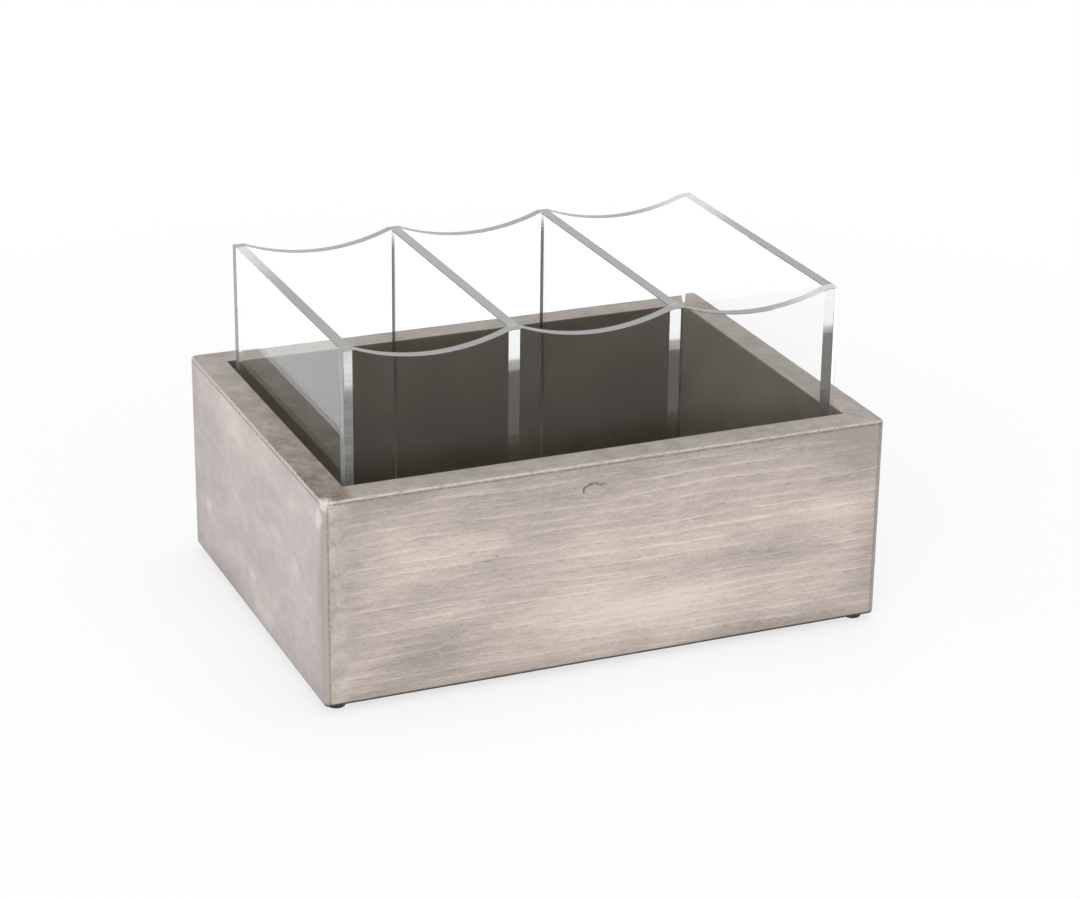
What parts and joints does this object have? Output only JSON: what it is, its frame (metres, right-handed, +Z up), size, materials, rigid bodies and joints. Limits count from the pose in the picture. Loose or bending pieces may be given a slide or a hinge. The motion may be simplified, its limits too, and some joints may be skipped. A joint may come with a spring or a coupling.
{
  "type": "utensil caddy",
  "caption": "Open wooden box on rubber feet with a clear acrylic insert, split into upright compartments for table utensils, that lifts straight out.",
  "frame": {"origin": "on the surface the feet stand on, under the middle of the box", "axes": "+X to the right along the box's long side, -Y out of the front board, +Z up"},
  "size_m": [0.305, 0.22, 0.18],
  "materials": {
    "washed_wood": "pine in a matt grey wash",
    "base_plywood": "matt, stained dark on the inside",
    "brad_steel": "bright wire",
    "foot_rubber": "matt",
    "clear_acrylic": "clear and polished, with sawn edges left satin"
  },
  "bodies": {
    "box": {"front_board": "washed_wood", "back_board": "washed_wood", "left_board": "washed_wood", "right_board": "washed_wood", "base_panel": "base_plywood", "corner_brads": "brad_steel", "base_brads": "brad_steel", "foot_front_left": "foot_rubber", "foot_front_right": "foot_rubber", "foot_back_left": "foot_rubber", "foot_back_right": "foot_rubber"},
    "insert": {"insert_front_panel": "clear_acrylic", "insert_back_panel": "clear_acrylic", "insert_left_wall": "clear_acrylic", "insert_right_wall": "clear_acrylic", "insert_base": "clear_acrylic", "insert_left_divider": "clear_acrylic", "insert_right_divider": "clear_acrylic"}
  },
  "joints": [
    {"name": "insert_lift", "type": "slide", "parent": "box", "child": "insert", "axis": [0, 0, 1], "range_m": [0, 0.104]}
  ]
}
